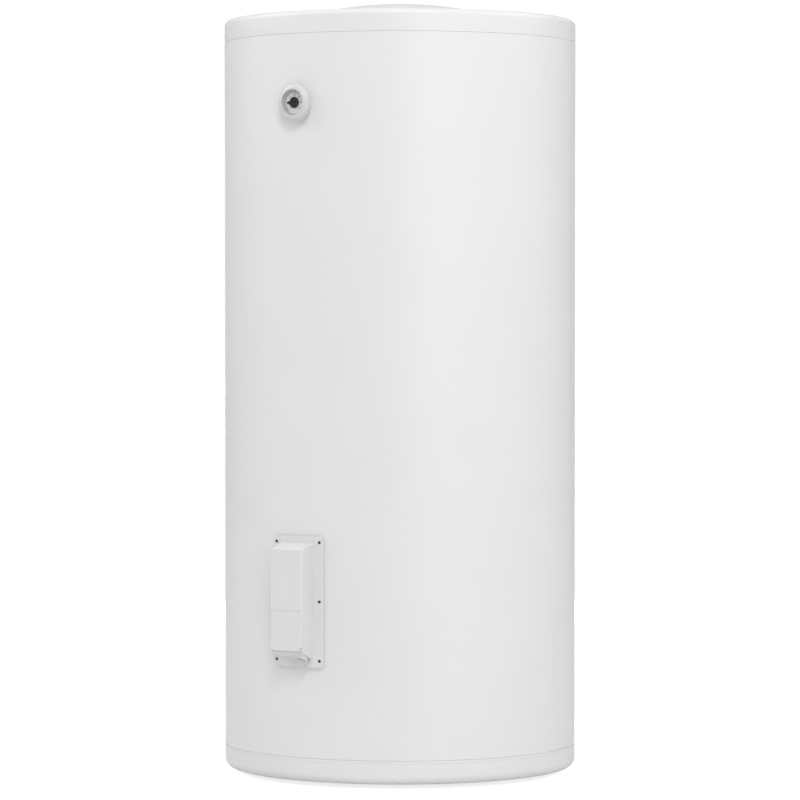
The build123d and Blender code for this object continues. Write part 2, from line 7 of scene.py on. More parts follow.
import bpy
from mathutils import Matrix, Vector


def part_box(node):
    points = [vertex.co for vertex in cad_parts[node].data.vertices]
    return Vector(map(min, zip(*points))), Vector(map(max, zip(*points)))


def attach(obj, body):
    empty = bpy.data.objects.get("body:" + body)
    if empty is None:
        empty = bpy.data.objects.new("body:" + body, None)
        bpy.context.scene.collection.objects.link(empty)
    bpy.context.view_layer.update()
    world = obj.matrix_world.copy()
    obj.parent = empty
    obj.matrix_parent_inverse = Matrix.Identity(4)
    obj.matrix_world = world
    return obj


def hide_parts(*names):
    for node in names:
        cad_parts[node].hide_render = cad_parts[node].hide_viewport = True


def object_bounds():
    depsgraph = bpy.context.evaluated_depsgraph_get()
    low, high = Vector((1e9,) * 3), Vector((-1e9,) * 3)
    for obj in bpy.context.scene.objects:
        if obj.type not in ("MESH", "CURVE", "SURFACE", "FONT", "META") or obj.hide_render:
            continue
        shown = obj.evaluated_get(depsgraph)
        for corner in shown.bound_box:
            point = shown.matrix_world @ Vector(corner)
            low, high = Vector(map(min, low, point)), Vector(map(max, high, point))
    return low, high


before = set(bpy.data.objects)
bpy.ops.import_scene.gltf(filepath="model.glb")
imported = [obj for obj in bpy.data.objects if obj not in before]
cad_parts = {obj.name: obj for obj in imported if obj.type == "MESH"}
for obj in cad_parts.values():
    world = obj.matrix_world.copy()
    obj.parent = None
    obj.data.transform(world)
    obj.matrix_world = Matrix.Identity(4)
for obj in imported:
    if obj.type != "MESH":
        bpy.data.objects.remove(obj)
cad_box = [list(corner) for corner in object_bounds()]

import math

import bmesh
import bpy
from mathutils import Matrix, Vector

MM = 0.001
scene = bpy.context.scene
FRONT = Matrix.Rotation(math.radians(90), 4, "X")  # turns local Z to -Y
BACK = Matrix.Rotation(math.radians(-90), 4, "X")  # turns local Z to +Y


# --- Procedural finishes -----------------------------------------------------------------


class Nodes:
    """A material's node tree, with the links made as the nodes are added."""

    def __init__(self, name):
        self.material = bpy.data.materials.new("finish_" + name)
        self.material.use_nodes = True
        self.tree = self.material.node_tree
        self.shader = self.tree.nodes["Principled BSDF"]
        self.coordinates = self.add("ShaderNodeTexCoord").outputs["Object"]

    def add(self, kind, inputs=None, **settings):
        node = self.tree.nodes.new(kind)
        for key, value in settings.items():
            setattr(node, key, value)
        for key, value in (inputs or {}).items():
            if isinstance(value, bpy.types.NodeSocket):
                self.tree.links.new(value, node.inputs[key])
            else:
                node.inputs[key].default_value = value
        return node

    def stretched(self, stretch):
        if stretch == (1, 1, 1):
            return self.coordinates
        return self.add(
            "ShaderNodeMapping", {"Vector": self.coordinates, "Scale": stretch}
        ).outputs["Vector"]

    def noise(self, size_mm, detail=2.0, stretch=(1, 1, 1)):
        return self.add(
            "ShaderNodeTexNoise",
            {"Vector": self.stretched(stretch), "Scale": 1000 / size_mm, "Detail": detail},
        ).outputs["Fac"]

    def cells(self, size_mm, output="Distance"):
        return self.add(
            "ShaderNodeTexVoronoi", {"Vector": self.coordinates, "Scale": 1000 / size_mm}
        ).outputs[output]

    def span(self, value, low, high):
        return self.add(
            "ShaderNodeMapRange",
            {"Value": value, "From Min": 0.3, "From Max": 0.7, "To Min": low, "To Max": high},
        ).outputs["Result"]


def finish(
    name,
    colour,
    roughness,
    metallic=0.0,
    tone=0.03,
    tone_size=60.0,
    rough_spread=0.04,
    grain=0.01,
    grain_size=1.0,
    pattern="noise",
    stretch=(1, 1, 1),
    sockets=None,
):
    """A finish with uneven tone, uneven gloss and a fine relief, each at its own scale."""
    nodes = Nodes(name)
    shader = nodes.shader
    if pattern == "spangle":
        tone_source = nodes.add(
            "ShaderNodeSeparateColor", {"Color": nodes.cells(tone_size, "Color")}
        ).outputs["Red"]
    else:
        tone_source = nodes.noise(tone_size, 4.0, stretch)
    factor = nodes.span(tone_source, 0.0, 1.0)
    darker = [channel * (1 - tone) for channel in colour]
    lighter = [min(1.0, channel * (1 + tone)) for channel in colour]
    mix = nodes.add("ShaderNodeMix", data_type="RGBA")
    nodes.tree.links.new(factor, mix.inputs["Factor"])
    mix.inputs[6].default_value = (*darker, 1)
    mix.inputs[7].default_value = (*lighter, 1)
    nodes.tree.links.new(mix.outputs[2], shader.inputs["Base Color"])
    gloss = nodes.span(
        nodes.noise(tone_size / 3, 3.0, stretch),
        max(0.02, roughness - rough_spread),
        roughness + rough_spread,
    )
    nodes.tree.links.new(gloss, shader.inputs["Roughness"])
    relief = nodes.cells(grain_size) if pattern == "foam" else nodes.noise(grain_size, 3.0, stretch)
    bump = nodes.add(
        "ShaderNodeBump", {"Height": relief, "Strength": 1.0, "Distance": grain * MM}
    )
    nodes.tree.links.new(bump.outputs["Normal"], shader.inputs["Normal"])
    shader.inputs["Metallic"].default_value = metallic
    for key, value in (sockets or {}).items():
        shader.inputs[key].default_value = value
    return nodes.material


TURNED = (1, 12, 1)  # fine rings round an axis along Y

# Each finish: its colour, its roughness, and then how uneven it is and how it is grained.
looks = {
    "jacket_enamel": dict(
        colour=(0.74, 0.74, 0.74), roughness=0.44, tone=0.008, tone_size=140, grain=0.012,
        grain_size=2.2,
    ),
    "cover_plastic": dict(
        colour=(0.735, 0.735, 0.735), roughness=0.44, tone=0.01, tone_size=90, grain=0.012,
        grain_size=0.9,
    ),
    "service_plastic": dict(
        colour=(0.705, 0.705, 0.705), roughness=0.36, tone=0.012, tone_size=40, grain=0.012,
        grain_size=0.7,
    ),
    "bezel_plastic": dict(
        colour=(0.61, 0.61, 0.61), roughness=0.24, tone=0.01, tone_size=20, grain=0.004,
        grain_size=0.8,
    ),
    "dial_face": dict(
        colour=(0.88, 0.88, 0.87), roughness=0.45, tone=0.015, tone_size=9, grain=0.002,
        grain_size=0.3,
    ),
    "pointer_black": dict(
        colour=(0.014, 0.014, 0.016), roughness=0.5, tone=0.15, tone_size=6, grain=0.003,
        grain_size=0.4,
    ),
    "clear_window": dict(
        colour=(0.02, 0.02, 0.02), roughness=0.05, tone=0.01, tone_size=12, rough_spread=0.02,
        grain=0.0005, grain_size=3, sockets={"Alpha": 0.06},
    ),
    "dark_screws": dict(
        colour=(0.045, 0.045, 0.048), roughness=0.42, metallic=0.7, tone=0.25, tone_size=2,
        rough_spread=0.1, grain=0.006, grain_size=0.4,
    ),
    "gasket_rubber": dict(
        colour=(0.022, 0.022, 0.024), roughness=0.72, tone=0.2, tone_size=8, grain=0.02,
        grain_size=0.5,
    ),
    "grommet_plastic": dict(
        colour=(0.72, 0.72, 0.71), roughness=0.46, tone=0.02, tone_size=8, grain=0.006,
        grain_size=0.5,
    ),
    "foam": dict(
        colour=(0.74, 0.62, 0.38), roughness=0.9, tone=0.12, tone_size=35, grain=0.5,
        grain_size=3.2, pattern="foam",
    ),
    "vessel_steel": dict(
        colour=(0.32, 0.34, 0.37), roughness=0.5, metallic=0.85, tone=0.18, tone_size=70,
        rough_spread=0.12, grain=0.02, grain_size=1.2, stretch=(1, 1, 5),
    ),
    "galvanised_steel": dict(
        colour=(0.56, 0.58, 0.60), roughness=0.42, metallic=0.9, tone=0.16, tone_size=9,
        rough_spread=0.1, grain=0.01, grain_size=0.8, pattern="spangle",
    ),
    "connection_brass": dict(
        colour=(0.72, 0.51, 0.21), roughness=0.30, metallic=1.0, tone=0.10, tone_size=14,
        rough_spread=0.1, grain=0.006, grain_size=0.9, stretch=TURNED,
    ),
    "copper": dict(
        colour=(0.78, 0.38, 0.24), roughness=0.34, metallic=1.0, tone=0.16, tone_size=12,
        rough_spread=0.1, grain=0.008, grain_size=0.8,
    ),
    "magnesium": dict(
        colour=(0.55, 0.55, 0.56), roughness=0.58, metallic=0.8, tone=0.15, tone_size=10,
        rough_spread=0.1, grain=0.05, grain_size=1.1, stretch=(1, 1, 0.2),
    ),
    "cold_blue": dict(
        colour=(0.025, 0.11, 0.46), roughness=0.40, tone=0.06, tone_size=12, grain=0.01,
        grain_size=0.6,
    ),
    "hot_red": dict(
        colour=(0.50, 0.022, 0.02), roughness=0.40, tone=0.06, tone_size=12, grain=0.01,
        grain_size=0.6,
    ),
    # Besides the grey parts' own colour, this grey is the painted shade of the thermometer's recess
    # liner.
    "neutral_grey": dict(
        colour=(0.46, 0.47, 0.48), roughness=0.42, tone=0.05, tone_size=12, grain=0.01,
        grain_size=0.6,
    ),
    "foot_plastic": dict(
        colour=(0.030, 0.030, 0.032), roughness=0.55, tone=0.18, tone_size=10, grain=0.02,
        grain_size=0.7,
    ),
    "knob_plastic": dict(
        colour=(0.06, 0.062, 0.066), roughness=0.38, tone=0.1, tone_size=7, grain=0.008,
        grain_size=0.5,
    ),
    "bakelite": dict(
        colour=(0.055, 0.036, 0.026), roughness=0.32, tone=0.22, tone_size=6, grain=0.006,
        grain_size=0.8,
    ),
    "terminal_white": dict(
        colour=(0.72, 0.70, 0.64), roughness=0.5, tone=0.04, tone_size=9, grain=0.01,
        grain_size=0.6,
    ),
    "wire_insulation": dict(
        colour=(0.30, 0.11, 0.04), roughness=0.45, tone=0.12, tone_size=7, grain=0.01,
        grain_size=0.5,
    ),
}
finishes = {name: finish(name, **look) for name, look in looks.items()}

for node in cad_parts.values():
    for slot in node.material_slots:
        slot.material = finishes[slot.material.name]


# --- Mesh helpers ------------------------------------------------------------------------


def corner(x, y, radius=0.0):
    """One corner of an outline, with the radius that rounds it."""
    return (x, y, radius)


def rounded(corners, closed=True, steps=6):
    """The outline through the corners, each rounded by its own radius."""
    outline = []
    count = len(corners)
    for index, (x, y, radius) in enumerate(corners):
        here = Vector((x, y))
        if radius <= 0 or (not closed and index in (0, count - 1)):
            outline.append((x, y))
            continue
        before = Vector(corners[index - 1][:2]) - here
        after = Vector(corners[(index + 1) % count][:2]) - here
        before.normalize()
        after.normalize()
        half = math.acos(max(-1.0, min(1.0, before.dot(after)))) / 2
        reach = radius / math.tan(half)
        middle = here + (before + after).normalized() * (radius / math.sin(half))
        first = here + before * reach - middle
        last = here + after * reach - middle
        turn = first.angle_signed(last)
        for step in range(steps + 1):
            arm = first.copy()
            arm.rotate(Matrix.Rotation(-turn * step / steps, 2))
            outline.append(tuple(middle + arm))
    return outline


def linked(name, data):
    """A new object in the scene that shows some mesh or other data."""
    made = bpy.data.objects.new(name, data)
    scene.collection.objects.link(made)
    return made


def closed_mesh(name, vertices, faces, extra=(), weld=False):
    """A mesh from points in millimetres, its faces turned outwards, with extra meshes added."""
    mesh = bpy.data.meshes.new(name)
    mesh.from_pydata([tuple(c * MM for c in vertex) for vertex in vertices], [], faces)
    work = bmesh.new()
    work.from_mesh(mesh)
    if weld:
        bmesh.ops.remove_doubles(work, verts=work.verts, dist=1e-7)
    bmesh.ops.recalc_face_normals(work, faces=work.faces)
    for other in extra:
        work.from_mesh(other)
    work.to_mesh(mesh)
    work.free()
    return mesh


def piece(name, vertices, faces, slot, body="root", replaces=(), sharp=35, place=None):
    """A closed piece that rides on a body and stands for some CAD nodes."""
    mesh = closed_mesh(name, vertices, faces, weld=True)
    if place is not None:
        mesh.transform(place)
    return dressed(linked(name, mesh), slot, body, replaces, sharp)


def dressed(made, slot, body="root", replaces=(), sharp=35):
    """Gives a piece its shading, finish, slot and body, and the CAD nodes it replaces."""
    mesh = made.data
    mesh.shade_smooth()
    mesh.set_sharp_from_angle(angle=math.radians(sharp))
    mesh.materials.clear()
    mesh.materials.append(finishes[slot])
    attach(made, body)
    if replaces:
        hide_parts(*replaces)
    return made


def revolved(outline, steps, closed=True, shape=None):
    """Vertices and faces of an outline of (radius, height) turned about the local Z axis.

    shape may change a vertex's radius from its radius, height and angle.
    """
    vertices, faces, rings = [], [], []
    for radius, height in outline:
        start = len(vertices)
        if radius < 1e-6:
            rings.append([start])
            vertices.append((0.0, 0.0, height))
            continue
        rings.append(list(range(start, start + steps)))
        for step in range(steps):
            angle = math.tau * step / steps
            out = shape(radius, height, angle) if shape else radius
            vertices.append((out * math.cos(angle), out * math.sin(angle), height))
    pairs = list(zip(rings, rings[1:]))
    if closed:
        pairs.append((rings[-1], rings[0]))
    for first, second in pairs:
        for step in range(steps):
            following = (step + 1) % steps
            if len(first) > 1 and len(second) > 1:
                faces.append((first[step], first[following], second[following], second[step]))
            elif len(first) > 1:
                faces.append((first[step], first[following], second[0]))
            elif len(second) > 1:
                faces.append((first[0], second[following], second[step]))
    return vertices, faces


def thread(low, high, inner, depth, pitch):
    """A shape for revolved() that cuts a helical thread between two heights."""

    def shape(radius, height, angle):
        if radius < inner or not low <= height <= high:
            return radius
        turn = (height / pitch - angle / math.tau) % 1
        fade = min(1.0, (height - low) / pitch, (high - height) / pitch)
        groove = max(0.0, 1 - abs(2 * turn - 1) * 1.25)
        return radius - depth * (groove * fade + (1 - fade) * 0.55)

    return shape


def rows(radius, low, high, step):
    """Points up a straight wall, a step apart."""
    count = max(1, round((high - low) / step))
    return [(radius, low + (high - low) * index / count) for index in range(count + 1)]


def cut(made, *cutters):
    """Takes the cutters' volumes out of a mesh and removes them."""
    for tool in cutters:
        modifier = made.modifiers.new("cut", "BOOLEAN")
        modifier.operation = "DIFFERENCE"
        modifier.solver = "EXACT"
        modifier.object = tool
    graph = bpy.context.evaluated_depsgraph_get()
    mesh = bpy.data.meshes.new_from_object(made.evaluated_get(graph))
    made.modifiers.clear()
    made.data = mesh
    for tool in cutters:
        bpy.data.objects.remove(tool)
    return made


def cutter(vertices, faces, place=None):
    """A passing object whose volume cut() takes away."""
    mesh = closed_mesh("cutter", vertices, faces)
    if place is not None:
        mesh.transform(place)
    return linked("cutter", mesh)


def drill(radius, length, place):
    """A cylinder for cut(), standing on a place's own XY plane."""
    side = [(0, 0), (radius, 0), (radius, length), (0, length)]
    return cutter(*revolved(side, 48, False), place)


def brick(low, high):
    """A block for cut(), between two corners."""
    vertices = [
        (x, y, z) for x in (low[0], high[0]) for y in (low[1], high[1]) for z in (low[2], high[2])
    ]
    faces = [(0, 1, 3, 2), (4, 6, 7, 5), (0, 4, 5, 1), (2, 3, 7, 6), (0, 2, 6, 4), (1, 5, 7, 3)]
    return cutter(vertices, faces)


def spot(x, y, z):
    """The place at a point."""
    return Matrix.Translation((x * MM, y * MM, z * MM))


def box(name):
    """The corners of a CAD node's box."""
    low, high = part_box(name)
    return [c / MM for c in low], [c / MM for c in high]


# --- Casing ------------------------------------------------------------------------------

ROUND = 360  # steps round the large turned pieces
HEM = 0.45  # how far the jacket's folded edges stand into each seam
SEAM_GAP = 1.2  # CAD gap between the jacket's edge and a cover
JACKET_WALL = 0.8
COVER_WALL = 3.0
LIP_OUTER, LIP_INNER = 288.6, 286.6  # radii of the covers' lips inside the jacket
DOME_RADIUS = 185.0
RIM_HEIGHT = 1239.0  # of the top cover's flat rim
BASE_OPENING = 194.0  # radius of the bottom cover's opening
GAUGE_HOLE = 17.3  # radius
NIPPLE_HOLE = 14.2  # radius
WINDOW_HALF = (39, 91)  # half width and height of the jacket's opening behind the service cover
HOLE_START, HOLE_LENGTH = 250, 60  # of each drilled hole, from the axis outwards

jacket_low, jacket_high = box("jacket")
cover_low, cover_high = box("top_cover")
base_low, base_high = box("bottom_cover")
radius = jacket_high[0]
nipples = {name: box(name + "_nipple") for name in ("cold", "recirculation", "hot")}
nipple_heights = {name: (low[2] + high[2]) / 2 for name, (low, high) in nipples.items()}
gauge_low, gauge_high = box("thermometer_bezel")
gauge_height = (gauge_low[2] + gauge_high[2]) / 2
plate_low, plate_high = box("service_cover")
plate_middle = (plate_low[2] + plate_high[2]) / 2
screw_rows = [plate_middle + rise for rise in (-94, 0.5, 95)]

# The wall has rings of vertices next to each opening, so that cutting leaves it smooth.
breaks = [plate_low[2] + 8, plate_high[2] - 8]
for height, half in [(gauge_height, 20), *((h, 17) for h in nipple_heights.values())]:
    breaks += [height - half, height + half]
breaks.sort()
edge_low, edge_high = jacket_low[2] - HEM, jacket_high[2] + HEM
wall = [(radius, edge_low + 0.2), *((radius, z) for z in breaks), (radius, edge_high - 0.2)]
outline = [
    (radius - JACKET_WALL, edge_low),
    (radius - 0.2, edge_low),
    *wall,
    (radius - 0.2, edge_high),
    (radius - JACKET_WALL, edge_high),
    *((radius - JACKET_WALL, z) for z in reversed(breaks)),
]
jacket = piece("jacket_shell", *revolved(outline, ROUND), "jacket_enamel")
holes = [
    brick(
        (-WINDOW_HALF[0], -HOLE_START - 70, plate_middle - WINDOW_HALF[1]),
        (WINDOW_HALF[0], -HOLE_START, plate_middle + WINDOW_HALF[1]),
    ),
    drill(GAUGE_HOLE, HOLE_LENGTH, spot(0, -HOLE_START, gauge_height) @ FRONT),
]
holes += [
    drill(NIPPLE_HOLE, HOLE_LENGTH, spot(0, HOLE_START, height) @ BACK)
    for height in nipple_heights.values()
]
jacket = cut(jacket, *holes)
dressed(jacket, "jacket_enamel", replaces=["jacket"])

dome = cover_high[2] - RIM_HEIGHT
sphere = (DOME_RADIUS**2 + dome**2) / (2 * dome)  # radius of the dome's curve


def crown(drop, steps=28):
    """The dome's curve from its top to its foot, lowered by a wall thickness."""
    middle = cover_high[2] - sphere
    for step in range(steps + 1):
        across = DOME_RADIUS * step / steps
        yield across, middle + math.sqrt(sphere**2 - across**2) - drop


seam = jacket_high[2] + SEAM_GAP
outline = list(crown(0))
outline += rounded(
    [
        corner(DOME_RADIUS, RIM_HEIGHT),
        corner(radius, RIM_HEIGHT, 9),
        corner(radius, seam - HEM, 0.15),
        corner(LIP_OUTER + 0.3, seam - HEM),
        corner(LIP_OUTER, seam - HEM),
        corner(LIP_OUTER, cover_low[2], 0.4),
        corner(LIP_INNER, cover_low[2], 0.4),
        corner(LIP_INNER, RIM_HEIGHT - COVER_WALL, 4),
        corner(DOME_RADIUS, RIM_HEIGHT - COVER_WALL),
    ],
    closed=False,
    steps=10,
)[1:-1]
outline += reversed(list(crown(COVER_WALL)))
piece(
    "top_cover_shell",
    *revolved(outline, ROUND, False),
    "cover_plastic",
    replaces=["top_cover"],
    sharp=40,
)

base_seam = jacket_low[2] - SEAM_GAP
outline = rounded(
    [
        corner(BASE_OPENING, base_low[2], 0.5),
        corner(radius, base_low[2], 14),
        corner(radius, base_seam - 4.2, 0.15),
        corner(radius - 0.25, base_seam - 4.0),
        corner(base_high[0] - 0.2, base_seam - 3.7, 0.2),
        corner(base_high[0] - 0.2, base_seam + HEM, 0.2),
        corner(LIP_OUTER, base_seam + HEM),
        corner(LIP_OUTER, base_high[2], 0.4),
        corner(LIP_INNER, base_high[2], 0.4),
        corner(LIP_INNER, base_low[2] + COVER_WALL, 11),
        corner(BASE_OPENING, base_low[2] + COVER_WALL, 0.5),
    ],
    steps=8,
)
piece(
    "bottom_cover_shell",
    *revolved(outline, ROUND),
    "cover_plastic",
    replaces=["bottom_cover"],
    sharp=40,
)


# --- Thermometer -------------------------------------------------------------------------

SCALE_END = 120  # the dial's last value
SCALE_START = -45  # degrees, where its first value stands
SCALE_TURN = 2.25  # degrees for each unit
SCALE_RADIUS = 17.3
NUMBER_RADIUS = 12.1
CAP_SHARE = 0.7  # a capital's height as a share of the font's size
dial_face = box("thermometer_dial")[0][1]
pointer_back = box("thermometer_pointer")[1][1]


def scale_angle(value):
    """The pointer's turn at a value on the dial."""
    return math.radians(SCALE_START + SCALE_TURN * value)


def on_dial(turn, out):
    """The point at a turn and a distance from the pointer's axis, seen from the front."""
    return -out * math.cos(turn), out * math.sin(turn)


def bars(strokes, back, front):
    """Thin printed bars between pairs of points, each with its own width."""
    vertices, faces = [], []
    for (x0, z0), (x1, z1), width in strokes:
        along = Vector((x1 - x0, z1 - z0)).normalized()
        side = Vector((-along.y, along.x)) * width / 2
        start = len(vertices)
        for y in (back, front):
            for x, z, sign in ((x0, z0, 1), (x1, z1, 1), (x1, z1, -1), (x0, z0, -1)):
                vertices.append((x + sign * side.x, y, z + sign * side.y))
        sides = [(0, 4, 5, 1), (1, 5, 6, 2), (2, 6, 7, 3), (3, 7, 4, 0)]
        for face in [(0, 1, 2, 3), (7, 6, 5, 4), *sides]:
            faces.append(tuple(start + index for index in face))
    return vertices, faces


def lettering(text, x, z, height, y):
    """A flat, slightly raised text that faces -Y."""
    curve = bpy.data.curves.new("lettering", "FONT")
    curve.body = text
    curve.size = height * MM / CAP_SHARE
    curve.extrude = 0.03 * MM
    curve.align_x = "CENTER"
    curve.align_y = "CENTER"
    made = linked("lettering", curve)
    made.matrix_world = spot(x, y, z) @ FRONT
    bpy.context.view_layer.update()
    graph = bpy.context.evaluated_depsgraph_get()
    mesh = bpy.data.meshes.new_from_object(made.evaluated_get(graph))
    mesh.transform(made.matrix_world)
    bpy.data.objects.remove(made)
    return mesh


def printed(name, vertices, faces, texts, slot, body="root"):
    """One printed piece from bars and text meshes."""
    return dressed(linked(name, closed_mesh(name, vertices, faces, texts)), slot, body)


strokes = []
for value in range(0, SCALE_END + 1, 2):
    turn = scale_angle(value)
    major = value % 20 == 0
    inner = 14.6 if major else (15.6 if value % 10 == 0 else 16.3)
    strokes.append((on_dial(turn, inner), on_dial(turn, SCALE_RADIUS), 0.42 if major else 0.2))
arc = [on_dial(scale_angle(value), SCALE_RADIUS) for value in range(0, SCALE_END + 1, 2)]
strokes += [(first, second, 0.22) for first, second in zip(arc, arc[1:])]
strokes = [
    ((x0, z0 + gauge_height), (x1, z1 + gauge_height), width)
    for (x0, z0), (x1, z1), width in strokes
]
texts = []
for value in range(0, SCALE_END + 1, 20):
    x, z = on_dial(scale_angle(value), NUMBER_RADIUS)
    texts.append(lettering(str(value), x, z + gauge_height, 2.2, dial_face - 0.03))
printed("dial_print", *bars(strokes, dial_face, dial_face - 0.05), texts, "pointer_black")

# A grey liner laid over the recess wall paints the shade inside the bezel's recess; its outline is
# (radius, distance in front of the axis).
painted_shade_liner = [
    corner(19.68, 303.4, 0.1),
    corner(18.25, 299.75, 0.1),
    corner(17.9, 299.58, 0.1),
    corner(17.9, 299.85, 0.1),
    corner(18.95, 303.4, 0.3),
]
# Painted shade: a thin grey sheet over the white recess wall, standing in for the shade the rim
# casts there.
piece(
    "gauge_painted_shade_liner",
    *revolved(rounded(painted_shade_liner), 120),
    "neutral_grey",
    place=spot(0, 0, gauge_height) @ FRONT,
)

# The pointer is a turned hub with a flat tip that points to the low end at rest.
hub = rounded(
    [
        corner(0, 0),
        corner(8.9, 0, 0.2),
        corner(8.9, 1.4, 0.5),
        corner(7.2, 1.4, 0.3),
        corner(6.9, 1.15, 0.2),
        corner(0, 1.15),
    ],
    closed=False,
)
disc_vertices, disc_faces = revolved(hub, 96, False)
disc_vertices = [(x, pointer_back - z, y + gauge_height) for x, y, z in disc_vertices]
tip = [(-8.2, 2.1), (-12.6, 1.75), (-13.4, 1.2), (-13.6, 0.5)]
tip += [(x, -z) for x, z in reversed(tip)]
start = len(disc_vertices)
for y in (pointer_back - 0.25, pointer_back - 1.15):
    disc_vertices += [(x, y, z + gauge_height) for x, z in tip]
count = len(tip)
disc_faces.append(tuple(start + index for index in range(count)))
disc_faces.append(tuple(start + count + index for index in reversed(range(count))))
for index in range(count):
    following = (index + 1) % count
    disc_faces.append(
        (start + index, start + following, start + count + following, start + count + index)
    )
piece(
    "gauge_pointer",
    disc_vertices,
    disc_faces,
    "pointer_black",
    "pointer",
    ["thermometer_pointer"],
)


# --- Access flap -------------------------------------------------------------------------

FLAP_RISE = 0.38  # added to the flap's top edge, which narrows the gap above it
flap_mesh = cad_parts["access_flap"].data.copy()
flap_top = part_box("access_flap")[1].z
for vertex in flap_mesh.vertices:
    if vertex.co.z > flap_top - 0.1 * MM:
        vertex.co.z += FLAP_RISE * MM
flap = linked("flap_panel", flap_mesh)
flap_mesh.materials.clear()
flap_mesh.materials.append(finishes["service_plastic"])
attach(flap, "flap")
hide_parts("access_flap")


# --- Screws, nipples and feet ------------------------------------------------------------


def screw_head(name, place, head_radius, head_height, shank_radius, shank_length):
    """A pan head with a cross recess, on a shank, standing on the local XY plane."""
    outline = rounded(
        [
            corner(0, -shank_length),
            corner(shank_radius, -shank_length, 0.3),
            corner(shank_radius, 0),
            corner(head_radius, 0, 0.15),
            corner(head_radius, head_height * 0.55, head_height * 0.35),
            corner(head_radius * 0.6, head_height, head_height * 0.9),
            corner(0, head_height),
        ],
        closed=False,
    )
    head = piece(name, *revolved(outline, 40, False), "dark_screws")
    blade = head_radius * 0.16
    reach = head_radius * 0.56
    floor = head_height * 0.35
    head = cut(
        head,
        brick((-reach, -blade, floor), (reach, blade, head_height + 1)),
        brick((-blade, -reach, floor), (blade, reach, head_height + 1)),
    )
    head.data.transform(place)
    return head


def merged(parts, name, slot, body="root", replaces=()):
    """Several finished meshes as one piece."""
    work = bmesh.new()
    for part in parts:
        work.from_mesh(part.data)
        bpy.data.objects.remove(part)
    mesh = bpy.data.meshes.new(name)
    work.to_mesh(mesh)
    work.free()
    return dressed(linked(name, mesh), slot, body, replaces)


SCREW_TURN = math.radians(8.15)  # of each screw column from the middle, round the axis
SCREW_SEAT = 294.1  # the service plate's surface, from the axis
HEAD_RADIUS, HEAD_HEIGHT = 2.2, 1.5
SHANK_RADIUS, SHANK_LENGTH = 1.9, 12.1

heads = []
for side in (-1, 1):
    for height in screw_rows:
        seat = Matrix.Rotation(SCREW_TURN * side, 4, "Z") @ spot(0, -SCREW_SEAT, height) @ FRONT
        slot_turn = Matrix.Rotation(0.4 + 0.7 * len(heads), 4, "Z")  # each was driven differently
        heads.append(
            screw_head(
                f"head_{len(heads)}",
                seat @ slot_turn,
                HEAD_RADIUS,
                HEAD_HEIGHT,
                SHANK_RADIUS,
                SHANK_LENGTH,
            )
        )
merged(heads, "cover_screw_heads", "dark_screws", replaces=["cover_screws"])

NIPPLE_BORE, NIPPLE_RADIUS, NIPPLE_CREST = 10, 12.5, 13.2  # radii; the crest is the thread's
NIPPLE_ROOT, NIPPLE_END = 232, 325  # from the axis
THREAD_START = 297.5
PIPE_PITCH, PIPE_DEPTH = 1.814, 0.95

for name, height in nipple_heights.items():
    outline = rounded(
        [
            corner(NIPPLE_BORE, NIPPLE_END, 0.5),
            corner(NIPPLE_BORE, NIPPLE_ROOT, 0.5),
            corner(NIPPLE_RADIUS, NIPPLE_ROOT, 0.5),
        ],
        closed=False,
    )
    outline += [(NIPPLE_RADIUS, THREAD_START - 0.1), (NIPPLE_RADIUS + 0.1, THREAD_START)]
    outline += rows(NIPPLE_CREST, THREAD_START + 0.1, NIPPLE_END - 0.6, PIPE_PITCH / 8)
    outline += [(NIPPLE_RADIUS + 0.1, NIPPLE_END)]
    ridges = thread(THREAD_START, NIPPLE_END - 0.5, 13.0, PIPE_DEPTH, PIPE_PITCH)
    piece(
        name + "_threaded_nipple",
        *revolved(outline, 60, shape=ridges),
        "connection_brass",
        replaces=[name + "_nipple"],
        sharp=60,
        place=spot(0, 0, height) @ BACK,
    )

COLLAR_LOW, COLLAR_HIGH = 9, 14  # heights of the hexagon on each stud
PAD_RADIUS = 20

